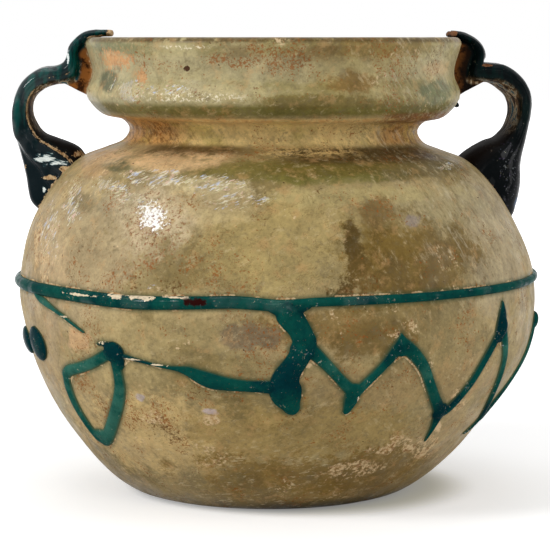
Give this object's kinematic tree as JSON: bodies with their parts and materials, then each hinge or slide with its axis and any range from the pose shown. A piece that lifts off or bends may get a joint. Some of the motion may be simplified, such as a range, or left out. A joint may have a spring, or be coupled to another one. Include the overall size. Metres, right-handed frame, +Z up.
{
  "type": "handled glass jar",
  "caption": "Round-bellied blown glass jar with a folded collar rim, two ribbed strap handles and applied trails of darker glass on the belly.",
  "frame": {"origin": "on the table plane, under the middle of the jar's box", "axes": "+Z up through the mouth, +X towards the right-hand handle seen from the front, -Y towards the viewer of the front"},
  "size_m": [0.1072, 0.1073, 0.0936],
  "materials": {
    "jar_glass": "weathered translucent khaki glass with soil and iridescent patches",
    "handle_glass": "glossy dark blue-green glass",
    "trail_glass": "glossy teal glass"
  },
  "bodies": {
    "root": {"vessel": "jar_glass", "left_handle": "handle_glass", "right_handle": "handle_glass", "collar_bead": "handle_glass", "belly_trail": "trail_glass", "trunk_trail": "trail_glass", "front_zigzag_trail": "trail_glass", "back_zigzag_trail": "trail_glass", "link_trail": "trail_glass", "loop_trail": "trail_glass", "stub_trail": "trail_glass", "left_drop": "trail_glass"}
  },
  "joints": []
}
